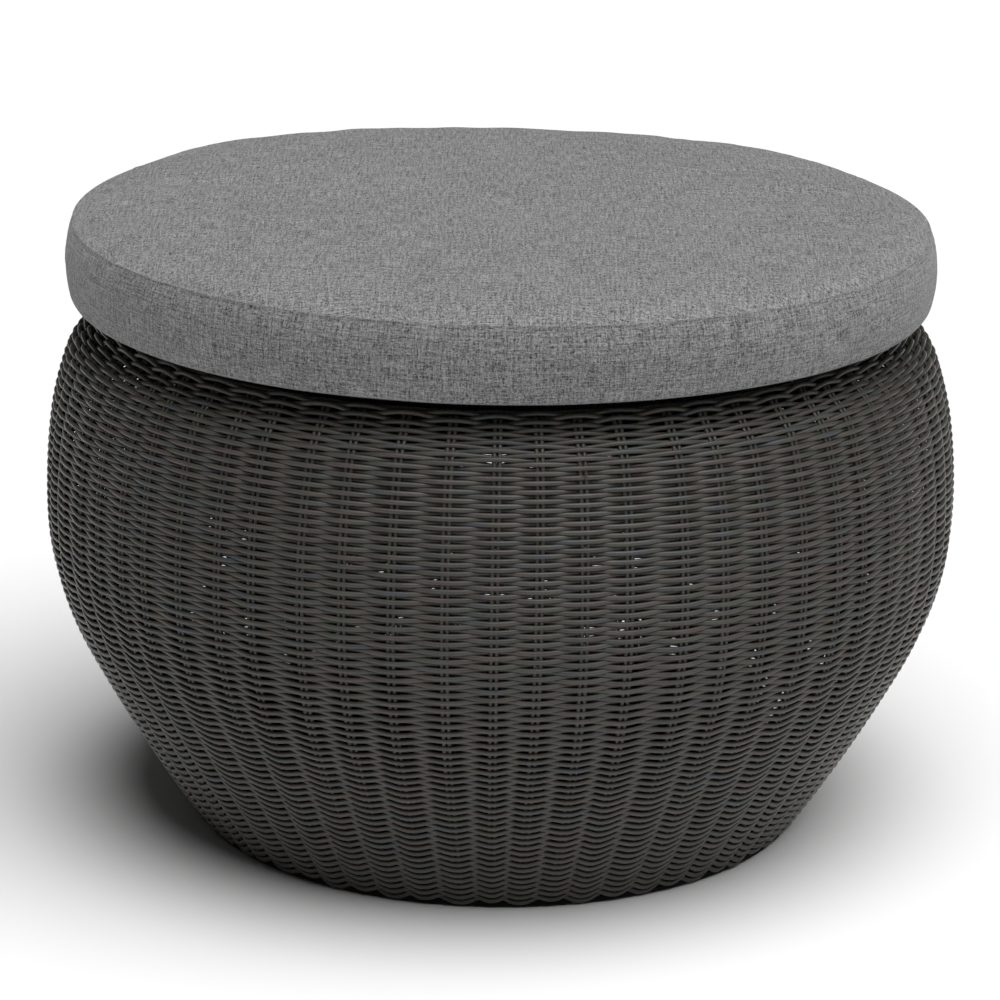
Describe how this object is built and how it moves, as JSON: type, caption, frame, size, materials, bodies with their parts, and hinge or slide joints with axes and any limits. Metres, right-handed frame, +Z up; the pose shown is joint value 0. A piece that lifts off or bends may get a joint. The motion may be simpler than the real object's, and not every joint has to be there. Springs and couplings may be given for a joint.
{
  "type": "round storage ottoman",
  "caption": "Round woven storage ottoman: bellied basket body on a metal frame, lift-off woven lid and a loose round boxed cushion on top.",
  "frame": {"origin": "centre of the body on the floor plane, under the glides", "axes": "+Z up along the body's axis of revolution; +Y towards the cushion's zip, -Y is the front"},
  "size_m": [0.7, 0.7, 0.4834],
  "materials": {
    "frame_metal": "satin black powder coat",
    "woven_resin": "dark grey-brown resin strand, slight sheen",
    "stake_resin": "dark grey-brown resin rod, slight sheen",
    "screw_steel": "plain zinc-plated steel",
    "glide_plastic": "black nylon",
    "bumper_rubber": "black soft rubber",
    "hook_loop_tape": "black woven hook-and-loop tape",
    "cushion_fabric": "mid-grey heathered woven fabric",
    "underside_fabric": "plain grey woven fabric",
    "cushion_foam": "pale open-cell foam",
    "zip_fabric": "dark grey zip tape",
    "zip_plastic": "dark grey moulded coil and slider"
  },
  "bodies": {
    "basket": {"base_ring": "frame_metal", "base_bar_long": "frame_metal", "base_bars_short": "frame_metal", "floor_panel": "woven_resin", "floor_screws": "screw_steel", "glides": "glide_plastic", "frame_ribs": "frame_metal", "belly_hoop": "frame_metal", "rim_hoop": "frame_metal", "rest_tabs": "frame_metal", "stakes": "stake_resin", "weave_lower": "woven_resin", "weave_belly": "woven_resin", "weave_upper": "woven_resin", "rim_border": "woven_resin"},
    "lid": {"lid_ring": "frame_metal", "lid_bar_long": "frame_metal", "lid_bars_short": "frame_metal", "lid_panel": "woven_resin", "lid_border": "woven_resin", "lid_bumpers": "bumper_rubber", "hook_tabs": "hook_loop_tape"},
    "cushion": {"foam_core": "cushion_foam", "cushion_top_panel": "cushion_fabric", "cushion_side_band": "cushion_fabric", "cushion_bottom_panel": "underside_fabric", "zip_tape": "zip_fabric", "zip_chain": "zip_plastic", "zip_slider": "zip_plastic", "loop_tabs": "hook_loop_tape"}
  },
  "joints": [
    {"name": "lid_lift", "type": "slide", "parent": "basket", "child": "lid", "axis": [0, 0, 1], "range_m": [0, 0.3]},
    {"name": "cushion_lift", "type": "slide", "parent": "lid", "child": "cushion", "axis": [0, 0, 1], "range_m": [0, 0.2]}
  ]
}
